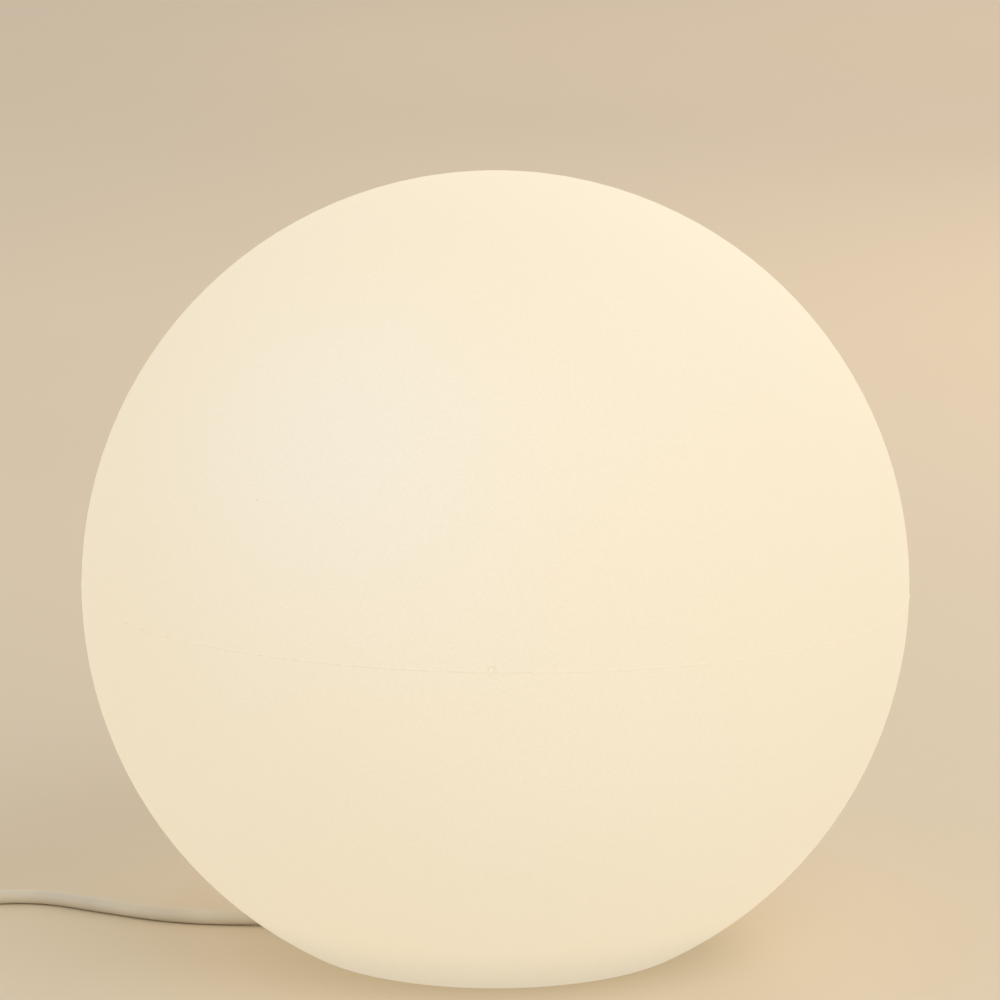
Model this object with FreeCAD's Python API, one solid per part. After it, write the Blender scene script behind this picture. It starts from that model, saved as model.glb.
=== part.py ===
import FreeCAD, Part
import math
import os

# Garden globe light. Millimetres, +Z up. The origin is on the ground under the globe's centre,
# and the cord leaves along -X.

Vec = FreeCAD.Vector
UP = Vec(0, 0, 1)
same_place = 0.01

# Globe: one rotomoulded polyethylene shell with a flat foot and a recess under it
globe_diameter = 400.0
globe_wall = 3.0
foot_ring_width = 27.0
foot_fillet = 20.0
recess_radius = 66.0
recess_height = 24.0
recess_edge_fillet = 3.0
mouth_inset = 14.0
boss_radius = 7.0
boss_height = 13.0
channel_width = 14.0
channel_height = 15.5

# Screws that hold the base unit to the globe, and the brass inserts moulded into the globe
lid_screw_count = 4
lid_screw_first_angle = 45.0
lid_screw_inset = 7.0
lid_screw_radius = 1.95
lid_screw_reach = 8.0
lid_head_radius = 3.8
lid_head_height = 2.6
insert_radius = 3.2
insert_length = 10.0
insert_bore_radius = 2.0
insert_relief = 2.0
drive_flats = 2.2
drive_depth = 1.0

# Lid of the base unit, its gasket and the turret under it
lid_gap = 2.0
lid_thickness = 4.0
gasket_thickness = 2.0
gasket_inset = 1.0
turret_radius = 36.0
turret_wall = 3.0
seal_thickness = 0.8
cover_thickness = 2.5
cover_stand_off = 1.5
hole_clearance = 0.25
fit_clearance = 0.05

# Screws, bosses and feet of the bottom cover
cover_screw_count = 3
cover_screw_first_angle = -90.0
cover_screw_step = 90.0
cover_screw_circle = 30.0
cover_screw_radius = 1.5
cover_screw_length = 9.0
cover_head_radius = 2.8
cover_head_height = 1.4
cover_boss_radius = 3.6
foot_count = 4
foot_first_angle = 45.0
foot_circle = 26.0
foot_radius = 5.0
foot_recess = 0.8

# Hollow post that carries the lamp holder
post_foot_radius = 30.0
post_foot_thickness = 3.0
post_bottom_radius = 22.0
post_top_radius = 20.0
post_wall = 2.5
post_top_thickness = 3.0
post_height = 38.0
post_screw_count = 4
post_screw_first_angle = 45.0
post_screw_circle = 25.5
post_screw_radius = 1.5
post_screw_head_radius = 2.9
post_screw_head_height = 2.2
wire_hole_radius = 8.0
grommet_bore_radius = 4.5
grommet_lip = 1.6
grommet_lip_thickness = 1.2

# E27 lamp holder: cap, skirt, insulating block, screw shell and contacts
holder_radius = 20.0
holder_wall = 2.0
holder_cap_height = 21.0
holder_cap_floor = 3.0
holder_skirt_height = 33.0
holder_lip_radius = 15.2
nipple_radius = 5.0
nipple_bore_radius = 3.9
nipple_length = 15.0
nipple_nut_flats = 14.0
nipple_nut_height = 3.0
block_radius = 17.5
block_bottom_above_floor = 12.0
block_height = 11.0
shell_inner_radius = 13.5
shell_wall = 0.4
shell_height = 25.0
shell_foot = 6.5
contact_radius = 5.0
contact_thickness = 2.0
terminal_offset = 10.5
terminal_length = 9.0
terminal_size = 5.0
terminal_screw_radius = 1.4
terminal_access_radius = 1.8
wire_entry = 4.0
block_ledge = 2.0
rivet_radius = 1.7
rivet_length = 4.0

# LED bulb with an E27 cap
bulb_length = 110.0
bulb_radius = 30.0
thread_pitch = 3.62
thread_turns = 5.2
thread_crest_radius = 13.2
thread_root_radius = 12.3
thread_sheet = 0.5
thread_sink = 0.1
thread_lead_in = 1.8
cap_length = 24.0
insulator_height = 3.0
tip_radius = 4.6
tip_thickness = 1.0
tip_setback = 1.0
housing_neck_radius = 14.2
housing_collar_height = 6.0
housing_wall = 1.6
housing_straight = 4.0
housing_shoulder = 1.0
diffuser_wall = 1.4
board_thickness = 1.6
board_hole_radius = 3.0
led_count = 9
led_circle = 16.0
led_size = 3.0
led_height = 0.9
driver_width = 17.0
driver_height = 26.0
driver_thickness = 1.6
capacitor_radius = 4.0
capacitor_length = 11.0
coil_can_size = 8.0
part_inset = 0.5

# Mains cord, its strain relief, saddle clamp and inner wires
cord_diameter = 7.0
cord_length = 3000.0
cord_below_lid = 7.5
cord_lie = 0.05
arc_share = 0.45
boot_length = 28.0
boot_large_radius = 6.6
boot_small_radius = 4.7
boot_neck_radius = 5.2
boot_flange_radius = 6.1
boot_flange_thickness = 2.0
boot_groove_count = 4
boot_groove_first = 6.0
boot_groove_step = 4.6
boot_groove_width = 1.6
boot_groove_depth = 0.9
sheath_end_x = -11.0
saddle_x = -21.0
saddle_width = 7.0
saddle_length = 25.0
saddle_thickness = 2.4
saddle_split = 1.4
saddle_screw_length = 11.0
saddle_screw_offset = 8.5
saddle_screw_radius = 1.4
saddle_head_radius = 2.6
saddle_head_height = 1.6
wire_diameter = 2.4
wire_spacing = 3.0
wire_clear = 2.0
wire_rise = 3.0

# Put-away coil of the cord
coil_turns = 10.25
coil_layers = 4
coil_pitch = 7.6
coil_layer_height = 7.5
coil_start_turn = -0.25
coil_climb = 0.5
knots_per_turn = 4
measured_per_turn = 72

# Two-pin contour plug
plug_width = 35.3
plug_height = 26.1
plug_corner = 10.0
plug_face_depth = 9.0
plug_body_depth = 27.0
plug_grip_width = 19.0
plug_grip_height = 15.0
plug_grip_corner = 5.0
plug_boot_length = 22.0
plug_boot_radius = 6.5
plug_notch_width = 6.0
plug_notch_depth = 2.2
pin_radius = 2.4
pin_length = 19.0
pin_spacing = 19.0
pin_root = 6.0

# Levels and radii that follow
globe_radius = globe_diameter / 2
ground_circle = recess_radius + foot_ring_width
centre_height = math.sqrt(globe_radius ** 2 - ground_circle ** 2)
mouth_radius = recess_radius - mouth_inset
lid_screw_circle = recess_radius - lid_screw_inset
cord_radius = cord_diameter / 2
lid_top = recess_height - gasket_thickness
lid_bottom = lid_top - lid_thickness
lid_radius = recess_radius - lid_gap
cord_axis_height = lid_bottom - cord_below_lid
cover_bottom = cover_stand_off
cover_top = cover_bottom + cover_thickness
turret_bottom = cover_top + seal_thickness
turret_inner_radius = turret_radius - turret_wall
flange_top = recess_height + globe_wall
post_top = lid_top + post_height
holder_floor_top = post_top + holder_cap_floor
skirt_bottom = post_top + holder_cap_height
skirt_top = skirt_bottom + holder_skirt_height
block_bottom = holder_floor_top + block_bottom_above_floor
block_top = block_bottom + block_height
bulb_tip_height = block_top + contact_thickness
bulb_top = bulb_tip_height + bulb_length
cap_bottom = bulb_tip_height + tip_thickness + insulator_height
cap_top = cap_bottom + cap_length
dome_centre = bulb_top - bulb_radius
board_bottom = dome_centre - housing_straight
board_top = board_bottom + board_thickness
saddle_bottom = cord_axis_height - cord_radius - saddle_thickness
saddle_top = cord_axis_height - saddle_split
terminal_axis = block_bottom + terminal_size / 2
boot_end_x = -(turret_radius + boot_length)
lie_height = cord_radius + cord_lie
plug_axis_height = plug_height / 2 + cord_lie

# The free cord's route from its strain relief to the coil, chosen along the way it lies
cord_route = [
    Vec(boot_end_x, 0, cord_axis_height),
    Vec(-84, 0, cord_axis_height),
    Vec(-114, -0.6, lie_height),
    Vec(-160, -5.9, lie_height),
    Vec(-203, 7.9, lie_height),
    Vec(-240, 21, lie_height),
    Vec(-276, 5.8, lie_height),
    Vec(-311, -6, lie_height),
    Vec(-340, -6, lie_height),
]

# Steps of the cord's tail, from where it leaves the coil down to its plug: sideways, along, and the
# share of the whole drop
tail_steps = [(0, 24, 0), (-3, 31, 0.6), (-1, 29, 0.4), (0, 22, 0)]


def ring_places(count, circle, first_angle, step=None):
    step = 360.0 / count if step is None else step
    angles = [math.radians(first_angle + step * i) for i in range(count)]
    return [Vec(circle * math.cos(a), circle * math.sin(a), 0) for a in angles]


def cylinder(radius, low, high, place=Vec(0, 0, 0)):
    return Part.makeCylinder(radius, high - low, Vec(place.x, place.y, low))


def tube(outer, inner, low, high, place=Vec(0, 0, 0)):
    return cylinder(outer, low, high, place).cut(cylinder(inner, low, high, place))


def box(low, high):
    return Part.makeBox(high.x - low.x, high.y - low.y, high.z - low.z, low)


def turned(edges):
    return Part.Face(Part.Wire(edges)).revolve(Vec(0, 0, 0), UP, 360)


def outline(points):
    """Straight edges through (radius, height) points, closed."""
    corners = [Vec(r, 0, z) for r, z in points]
    return [
        Part.LineSegment(a, b).toShape()
        for a, b in zip(corners, corners[1:] + corners[:1])
    ]


def turned_from(points):
    return turned(outline(points))


def lying_cylinder(radius, x_from, x_to, height):
    low, high = sorted((x_from, x_to))
    return Part.makeCylinder(radius, high - low, Vec(low, 0, height), Vec(1, 0, 0))


def lying_cone(radius_from, radius_to, x_from, x_to, height):
    return Part.makeCone(
        radius_from, radius_to, abs(x_to - x_from), Vec(x_from, 0, height), Vec(x_to - x_from, 0, 0)
    )


def one(shape):
    """The shape with leftover seams between like faces removed."""
    return shape.removeSplitter()


def dome(radius, floor, fillet):
    """Solid ball round the globe's centre, cut flat at floor, its edge rolled under by fillet."""
    drop = centre_height - floor - fillet
    reach = radius - fillet
    flat = math.sqrt(reach * reach - drop * drop)
    slope = math.atan2(-drop, flat)
    centre = Vec(0, 0, centre_height)
    roll = Vec(flat, 0, floor + fillet)

    def on_ball(angle):
        return centre + Vec(radius * math.cos(angle), 0, radius * math.sin(angle))

    def on_roll(angle):
        return roll + Vec(fillet * math.cos(angle), 0, fillet * math.sin(angle))

    top = math.pi / 2
    edges = [
        Part.Arc(on_ball(top), on_ball((top + slope) / 2), on_ball(slope)).toShape(),
        Part.Arc(on_roll(slope), on_roll((slope - top) / 2), on_roll(-top)).toShape(),
        Part.LineSegment(on_roll(-top), Vec(0, 0, floor)).toShape(),
        Part.LineSegment(Vec(0, 0, floor), on_ball(top)).toShape(),
    ]
    return turned(edges)


def channel(grow):
    """Passage for the cord from the recess out through the foot, with a round roof."""
    half = channel_width / 2 + grow
    top = channel_height + grow
    length = globe_radius
    square = box(Vec(-length, -half, -grow), Vec(0, half, top - half))
    roof = lying_cylinder(half, -length, 0, top - half)
    return square.fuse(roof)


def edge_at(shape, radius, height):
    """The round edges of that radius at that height."""
    found = []
    for edge in shape.Edges:
        if edge.Degenerated or not isinstance(edge.Curve, Part.Circle):
            continue
        level = abs(edge.Curve.Center.z - height) < same_place
        if level and abs(edge.Curve.Radius - radius) < same_place:
            found.append(edge)
    return found


def lid_screw_places():
    return ring_places(lid_screw_count, lid_screw_circle, lid_screw_first_angle)


def globe_shell():
    inside = dome(globe_radius - globe_wall, globe_wall, foot_fillet - globe_wall)
    inside = inside.cut(cylinder(recess_radius + globe_wall, 0, flange_top))
    inside = inside.cut(channel(globe_wall))
    shell = dome(globe_radius, 0, foot_fillet).cut(cylinder(recess_radius, 0, recess_height))
    shell = shell.makeFillet(recess_edge_fillet, edge_at(shell, recess_radius, 0))
    shell = shell.cut(inside).cut(channel(0))
    for place in lid_screw_places():
        shell = shell.fuse(cylinder(boss_radius, recess_height, flange_top + boss_height, place))
        pocket = insert_length + insert_relief
        shell = shell.cut(cylinder(insert_radius, recess_height, recess_height + pocket, place))
    return one(shell.cut(cylinder(mouth_radius, 0, flange_top + boss_height)))


def insert():
    return tube(insert_radius, insert_bore_radius, recess_height, recess_height + insert_length)


def screw(head_radius, head_height, shank_radius, low, high):
    """Screw driven from below, with its head at low and a socket in the head."""
    head = cylinder(head_radius, low, low + head_height)
    shank = cylinder(shank_radius, low, high)
    return head.fuse(shank).cut(hexagon(drive_flats, low, low + drive_depth))


def hexagon(flats, low, high):
    corners = ring_places(6, flats / 2 / math.cos(math.pi / 6), 0)
    sides = [corner + Vec(0, 0, low) for corner in corners]
    return Part.Face(Part.makePolygon(sides + sides[:1])).extrude(Vec(0, 0, high - low))


def lid_screw():
    low = lid_bottom - lid_head_height
    return screw(lid_head_radius, lid_head_height, lid_screw_radius, low, recess_height + lid_screw_reach)


def base_gasket():
    ring = tube(lid_radius - gasket_inset, mouth_radius + gasket_inset, lid_top, recess_height)
    for place in lid_screw_places():
        hole = lid_screw_radius + hole_clearance
        ring = ring.cut(cylinder(hole, lid_top, recess_height, place))
    return ring


def cover_screw_places():
    return ring_places(
        cover_screw_count, cover_screw_circle, cover_screw_first_angle, cover_screw_step
    )


def post_screw_places():
    return ring_places(post_screw_count, post_screw_circle, post_screw_first_angle)


def saddle_screw_places():
    return [Vec(saddle_x, side * saddle_screw_offset, 0) for side in (-1, 1)]


def cord_bore(radius, x_from, x_to):
    return lying_cylinder(radius, x_from, x_to, cord_axis_height)


def anvil():
    """Block under the lid that the saddle presses the cord against."""
    half = saddle_width / 2
    ends = saddle_length / 2
    low = saddle_top + fit_clearance
    block = box(Vec(saddle_x - half, -ends, low), Vec(saddle_x + half, ends, lid_bottom))
    return block.cut(cord_bore(cord_radius + fit_clearance, saddle_x - half, saddle_x + half))


def base_lid():
    lid = cylinder(lid_radius, lid_bottom, lid_top)
    lid = lid.fuse(tube(turret_radius, turret_inner_radius, turret_bottom, lid_bottom))
    for place in cover_screw_places():
        lid = lid.fuse(cylinder(cover_boss_radius, turret_bottom, lid_bottom, place))
    lid = lid.fuse(anvil())
    for place in lid_screw_places():
        lid = lid.cut(cylinder(lid_screw_radius + hole_clearance, lid_bottom, lid_top, place))
    for place in post_screw_places():
        lid = lid.cut(cylinder(post_screw_radius + hole_clearance, lid_bottom, lid_top, place))
    for place in cover_screw_places():
        hole = cover_screw_radius + fit_clearance
        top = cover_bottom + cover_screw_length + hole_clearance
        lid = lid.cut(cylinder(hole, turret_bottom, top, place))
    for place in saddle_screw_places():
        hole = saddle_screw_radius + fit_clearance
        top = saddle_bottom + saddle_screw_length + hole_clearance
        lid = lid.cut(cylinder(hole, saddle_top, top, place))
    inside = boot_flange_thickness - turret_inner_radius
    lid = lid.cut(cord_bore(boot_neck_radius + fit_clearance, -lid_radius, inside))
    return one(lid.cut(cylinder(wire_hole_radius, lid_bottom, lid_top)))


def turret_seal():
    ring = tube(turret_radius, turret_inner_radius, cover_top, turret_bottom)
    for place in cover_screw_places():
        eye = cylinder(cover_boss_radius, cover_top, turret_bottom, place)
        hole = cylinder(cover_screw_radius + hole_clearance, cover_top, turret_bottom, place)
        ring = ring.fuse(eye).cut(hole)
    return one(ring)


def bottom_cover():
    plate = cylinder(turret_radius, cover_bottom, cover_top)
    for place in cover_screw_places():
        plate = plate.cut(cylinder(cover_screw_radius + hole_clearance, cover_bottom, cover_top, place))
        head_top = cover_bottom + cover_head_height
        plate = plate.cut(cylinder(cover_head_radius + fit_clearance, cover_bottom, head_top, place))
    for place in ring_places(foot_count, foot_circle, foot_first_angle):
        plate = plate.cut(cylinder(foot_radius, cover_bottom, cover_bottom + foot_recess, place))
    return plate


def cover_screw():
    high = cover_bottom + cover_screw_length
    return screw(cover_head_radius, cover_head_height, cover_screw_radius, cover_bottom, high)


def rubber_foot():
    return cylinder(foot_radius, 0, cover_bottom + foot_recess)


def holder_post():
    inner_bottom = post_bottom_radius - post_wall
    inner_top = post_top_radius - post_wall
    under_top = post_top - post_top_thickness
    foot_top = lid_top + post_foot_thickness
    post = turned_from([
        (nipple_radius + fit_clearance, post_top),
        (nipple_radius + fit_clearance, under_top),
        (inner_top, under_top),
        (inner_bottom, lid_top),
        (post_foot_radius, lid_top),
        (post_foot_radius, foot_top),
        (post_bottom_radius, foot_top),
        (post_top_radius, post_top),
    ])
    for place in post_screw_places():
        post = post.cut(cylinder(post_screw_radius + fit_clearance, lid_top, foot_top, place))
    return post


def post_screw():
    low = lid_bottom - post_screw_head_height
    high = lid_top + post_foot_thickness
    return screw(post_screw_head_radius, post_screw_head_height, post_screw_radius, low, high)


def wire_grommet():
    low = lid_bottom - grommet_lip_thickness
    high = lid_top + grommet_lip_thickness
    return turned_from([
        (grommet_bore_radius, low),
        (wire_hole_radius + grommet_lip, low),
        (wire_hole_radius + grommet_lip, lid_bottom),
        (wire_hole_radius, lid_bottom),
        (wire_hole_radius, lid_top),
        (wire_hole_radius + grommet_lip, lid_top),
        (wire_hole_radius + grommet_lip, high),
        (grommet_bore_radius, high),
    ])


def nipple_middle():
    return (post_top - post_top_thickness + holder_floor_top) / 2


def threaded_nipple():
    low = nipple_middle() - nipple_length / 2
    return tube(nipple_radius, nipple_bore_radius, low, low + nipple_length)


def hex_nut(flats, hole, low, high):
    return hexagon(flats, low, high).cut(cylinder(hole, low, high))


def nipple_nuts():
    hole = nipple_radius + fit_clearance
    under = post_top - post_top_thickness
    lower = hex_nut(nipple_nut_flats, hole, under - nipple_nut_height, under)
    upper = hex_nut(nipple_nut_flats, hole, holder_floor_top, holder_floor_top + nipple_nut_height)
    return [lower, upper]


def holder_cap():
    inner = holder_radius - holder_wall
    ledge = inner - block_ledge
    return turned_from([
        (nipple_radius + fit_clearance, post_top),
        (holder_radius, post_top),
        (holder_radius, skirt_bottom),
        (inner, skirt_bottom),
        (inner, block_bottom),
        (ledge, block_bottom),
        (ledge, holder_floor_top),
        (nipple_radius + fit_clearance, holder_floor_top),
    ])


def holder_skirt():
    inner = holder_radius - holder_wall
    lip_bottom = skirt_top - holder_wall
    return turned_from([
        (inner, skirt_bottom),
        (holder_radius, skirt_bottom),
        (holder_radius, skirt_top),
        (holder_lip_radius, skirt_top),
        (holder_lip_radius, lip_bottom),
        (inner, lip_bottom),
    ])


def terminal_places():
    return [Vec(side * terminal_offset, 0, 0) for side in (-1, 1)]


def crosswise_cylinder(radius, x, y_from, y_to):
    return Part.makeCylinder(radius, y_to - y_from, Vec(x, y_from, terminal_axis), Vec(0, 1, 0))


def terminal_end():
    return terminal_length / 2 - fit_clearance


def holder_block():
    block = cylinder(block_radius, block_bottom, block_top)
    half = terminal_size / 2
    for place in terminal_places():
        slot = box(
            Vec(place.x - half, -terminal_length / 2, block_bottom),
            Vec(place.x + half, terminal_length / 2, block_bottom + terminal_size),
        )
        access = crosswise_cylinder(terminal_access_radius, place.x, -block_radius, 0)
        block = block.cut(slot).cut(access)
    return block.cut(cylinder(rivet_radius + fit_clearance, block_top - rivet_length, block_top))


def terminals():
    blocks = []
    half = terminal_size / 2 - fit_clearance
    for place in terminal_places():
        low = Vec(place.x - half, -terminal_end(), block_bottom)
        high = Vec(place.x + half, terminal_end(), block_bottom + terminal_size)
        hole = cylinder(wire_diameter / 2 + fit_clearance, block_bottom, block_bottom + wire_entry, place)
        thread = crosswise_cylinder(terminal_screw_radius + fit_clearance, place.x, -terminal_end(), 0)
        blocks.append(box(low, high).cut(hole).cut(thread))
    return blocks


def terminal_screws():
    tip = -wire_diameter / 2 - fit_clearance
    return [
        crosswise_cylinder(terminal_screw_radius, place.x, -terminal_end(), tip)
        for place in terminal_places()
    ]


def centre_contact():
    rivet = cylinder(rivet_radius, block_top - rivet_length, block_top)
    return rivet.fuse(cylinder(contact_radius, block_top, bulb_tip_height))


def screw_shell():
    outer = shell_inner_radius + shell_wall
    wall = tube(outer, shell_inner_radius, block_top, block_top + shell_height)
    return one(wall.fuse(tube(outer, outer - shell_foot, block_top, block_top + shell_wall)))


def bulb_tip():
    return cylinder(tip_radius, bulb_tip_height, bulb_tip_height + tip_thickness)


def bulb_insulator():
    low = bulb_tip_height + tip_thickness
    top_radius = thread_root_radius - thread_sheet
    return Part.makeCone(tip_radius + tip_setback, top_radius, insulator_height, Vec(0, 0, low))


def bulb_cap():
    """Thin sleeve with a rounded right-hand thread standing out from it."""
    middle = thread_root_radius - thread_sink
    bead = thread_crest_radius - middle
    path = Part.makeHelix(thread_pitch, thread_pitch * thread_turns, thread_root_radius)
    section = Part.Circle(Vec(middle, 0, 0), Vec(0, 1, 0), bead).toShape()
    thread = Part.Wire(path.Edges).makePipeShell([Part.Wire([section])], True, True)
    thread.translate(Vec(0, 0, cap_bottom + thread_lead_in))
    bore = cylinder(thread_root_radius - thread_sheet, cap_bottom - bead, cap_top + bead)
    return cylinder(thread_root_radius, cap_bottom, cap_top).fuse(thread).cut(bore)


def bulb_housing():
    neck = thread_root_radius - thread_sheet - fit_clearance
    inner_neck = neck - housing_wall
    shoulder = cap_top + housing_collar_height
    inner = bulb_radius - housing_wall
    return turned_from([
        (inner_neck, cap_top - housing_collar_height),
        (neck, cap_top - housing_collar_height),
        (neck, cap_top),
        (housing_neck_radius, cap_top),
        (housing_neck_radius + housing_shoulder, shoulder),
        (bulb_radius, board_bottom),
        (bulb_radius, dome_centre),
        (inner, dome_centre),
        (inner, board_bottom),
        (housing_neck_radius - housing_shoulder, shoulder + housing_wall),
        (inner_neck, cap_top + housing_wall),
    ])


def bulb_diffuser():
    ball = Part.makeSphere(bulb_radius, Vec(0, 0, dome_centre))
    hollow = Part.makeSphere(bulb_radius - diffuser_wall, Vec(0, 0, dome_centre))
    upper = cylinder(bulb_radius, dome_centre, bulb_top)
    return ball.cut(hollow).common(upper)


def led_board():
    return tube(bulb_radius - housing_wall - fit_clearance, board_hole_radius, board_bottom, board_top)


def led_chips():
    half = led_size / 2
    return [
        box(p + Vec(-half, -half, board_top), p + Vec(half, half, board_top + led_height))
        for p in ring_places(led_count, led_circle, 0)
    ]


def driver_board():
    half = driver_width / 2
    side = driver_thickness / 2
    return box(Vec(-half, -side, board_bottom - driver_height), Vec(half, side, board_bottom))


def driver_parts():
    """Capacitor and inductor, one on each face of the driver board."""
    side = driver_thickness / 2
    high = board_bottom - part_inset
    place = Vec(0, side + capacitor_radius, 0)
    capacitor = cylinder(capacitor_radius, high - capacitor_length, high, place)
    half = coil_can_size / 2
    inductor = box(Vec(-half, -side - coil_can_size, high - coil_can_size), Vec(half, -side, high))
    return [capacitor, inductor]


def line(start, end):
    return Part.LineSegment(start, end).toShape()


def arc(start, corner, end):
    """Arc from start to end, tangent to the lines that meet at corner, both as long."""
    middle = (start + end) * 0.5
    chord = (end - start).Length
    angle = (corner - start).getAngle(end - start)
    rise = chord / 2 * math.tan(angle / 2)
    return Part.Arc(start, middle + (corner - middle).normalize() * rise, end).toShape()


def runs_and_arcs(points, name):
    """Straight runs joined by tangent arcs, each as large as its two runs allow."""
    edges = []
    radii = []
    start = points[0]
    for before, corner, after in zip(points, points[1:], points[2:]):
        back = before - corner
        ahead = after - corner
        reach = arc_share * min(back.Length, ahead.Length)
        half_turn = (math.pi - back.getAngle(ahead)) / 2
        radii.append(reach / math.tan(half_turn))
        entry = corner + back.normalize() * reach
        leave = corner + ahead.normalize() * reach
        edges += [line(start, entry), arc(entry, corner, leave)]
        start = leave
    edges.append(line(start, points[-1]))
    print(name, "arc radii:", ", ".join("%.0f" % r for r in radii))
    return edges


def swept(edges, radius, name):
    """Round tube along joined edges, with its volume set against section times length."""
    path = Part.Wire(edges)
    first = edges[0]
    start = first.valueAt(first.FirstParameter)
    section = Part.Circle(start, first.tangentAt(first.FirstParameter), radius).toShape()
    solid = path.makePipeShell([Part.Wire([section])], True, False)
    share = solid.Volume / (math.pi * radius * radius * path.Length)
    print("%s length %.1f mm, volume share %.4f" % (name, path.Length, share))
    return solid


def route_length(points):
    return Part.Wire(runs_and_arcs(points, "route")).Length


def coil_middle_radius():
    """Middle of the turns, so that the whole cord has its length."""
    top = lie_height + (coil_layers - 1) * coil_layer_height
    ends = route_length(cord_route) + route_length(tail_route(Vec(0, 0, top)))
    rest = cord_length - ends - 2 * cord_diameter
    return rest / (2 * math.pi * coil_turns)


def tail_route(start):
    drop = start.z - plug_axis_height
    points = [start]
    for sideways, along, share in tail_steps:
        points.append(points[-1] + Vec(sideways, along, -share * drop))
    return points


class Coil:
    """Turns piled in layers, spiralling in and out, climbing a layer in each reversing half turn."""

    def __init__(self):
        self.per_layer = coil_turns / coil_layers
        half_span = coil_pitch * self.per_layer / 2
        self.outer = coil_middle_radius() + half_span
        join = cord_route[-1] + Vec(-cord_diameter, 0, 0)
        self.centre = Vec(join.x, join.y + self.outer, lie_height)
        print("coil outer radius %.1f, inner radius %.1f" % (self.outer, self.outer - 2 * half_span))

    def radius(self, turn):
        layer = min(int(turn / self.per_layer), coil_layers - 1)
        along = turn - layer * self.per_layer
        inward = coil_pitch * along
        return self.outer - (inward if layer % 2 == 0 else coil_pitch * self.per_layer - inward)

    def height(self, turn):
        level = 0.0
        for change in range(1, coil_layers):
            share = (turn - change * self.per_layer) / coil_climb + 0.5
            level += min(max(share, 0.0), 1.0)
        return level * coil_layer_height

    def point(self, turn):
        angle = 2 * math.pi * (coil_start_turn - turn)
        radius = self.radius(turn)
        return self.centre + Vec(radius * math.cos(angle), radius * math.sin(angle), self.height(turn))

    def heading(self, turn):
        angle = 2 * math.pi * (coil_start_turn - turn)
        return Vec(math.sin(angle), -math.cos(angle), 0)

    def knots(self):
        count = int(round(coil_turns * knots_per_turn))
        return [coil_turns * i / count for i in range(count + 1)]

    def edges(self):
        knots = self.knots()
        start = self.point(knots[0])
        parts = [line(cord_route[-1], start)]
        for a, b in zip(knots, knots[1:]):
            parts += biarc(self.point(a), self.heading(a), self.point(b), self.heading(b))
        parts.append(line(self.point(knots[-1]), self.end()))
        return parts

    def end(self):
        return self.point(coil_turns) + self.heading(coil_turns) * cord_diameter

    def least_gap(self):
        """Least gap between turns, measured on points along the middle of the tube."""
        count = int(coil_turns * measured_per_turn)
        points = [self.point(coil_turns * i / count) for i in range(count + 1)]
        skip = measured_per_turn // 2
        near = min(
            (points[i] - points[j]).Length
            for i in range(len(points))
            for j in range(i + skip, len(points))
        )
        return near - cord_diameter


def biarc(start, start_way, end, end_way):
    """Two tangent arcs from start to end with the given headings."""
    span = end - start
    both = start_way + end_way
    turn = 2 * (1 - start_way.dot(end_way))
    along = span.dot(both)
    reach = (-along + math.sqrt(along * along + turn * span.dot(span))) / turn
    first = start + start_way * reach
    second = end - end_way * reach
    join = (first + second) * 0.5
    return [arc(start, first, join), arc(join, second, end)]


def mains_cord():
    coil = Coil()
    lead = swept(runs_and_arcs(cord_route, "cord lead"), cord_radius, "cord lead")
    turns = swept(coil.edges(), cord_radius, "cord coil")
    print("coil least gap between turns %.2f mm" % coil.least_gap())
    tail_points = tail_route(coil.end())
    tail = swept(runs_and_arcs(tail_points, "cord tail"), cord_radius, "cord tail")
    print("coil centre", coil.centre, "cord end", tail_points[-1])
    return lead, turns, tail, tail_points[-1]


def cord_inner():
    return lying_cylinder(cord_radius, boot_end_x, sheath_end_x, cord_axis_height)


def cord_boot():
    neck_from = -turret_radius - fit_clearance
    flange_to = -math.sqrt(turret_inner_radius ** 2 - boot_flange_radius ** 2) + fit_clearance
    cone = lying_cone(boot_large_radius, boot_small_radius, neck_from, boot_end_x, cord_axis_height)
    for i in range(boot_groove_count):
        x = neck_from - boot_groove_first - boot_groove_step * i
        share = (neck_from - x) / boot_length
        outside = boot_large_radius + (boot_small_radius - boot_large_radius) * share
        ring = lying_cylinder(boot_large_radius, x, x - boot_groove_width, cord_axis_height)
        core = lying_cylinder(outside - boot_groove_depth, x, x - boot_groove_width, cord_axis_height)
        cone = cone.cut(ring.cut(core))
    neck = cord_bore(boot_neck_radius, neck_from, flange_to)
    flange = cord_bore(boot_flange_radius, flange_to, flange_to + boot_flange_thickness)
    boot = cone.fuse(neck).fuse(flange)
    return one(boot.cut(cord_bore(cord_radius + fit_clearance, 0, boot_end_x)))


def cord_saddle():
    half = saddle_width / 2
    ends = saddle_length / 2
    bar = box(Vec(saddle_x - half, -ends, saddle_bottom), Vec(saddle_x + half, ends, saddle_top))
    bar = bar.cut(cord_bore(cord_radius + fit_clearance, saddle_x - half, saddle_x + half))
    for place in saddle_screw_places():
        hole = cylinder(saddle_screw_radius + fit_clearance, saddle_bottom, saddle_top, place)
        head_top = saddle_bottom + saddle_head_height
        sink = cylinder(saddle_head_radius + hole_clearance, saddle_bottom, head_top, place)
        bar = bar.cut(hole).cut(sink)
    return bar


def saddle_screw():
    high = saddle_bottom + saddle_screw_length
    return screw(saddle_head_radius, saddle_head_height, saddle_screw_radius, saddle_bottom, high)


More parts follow.
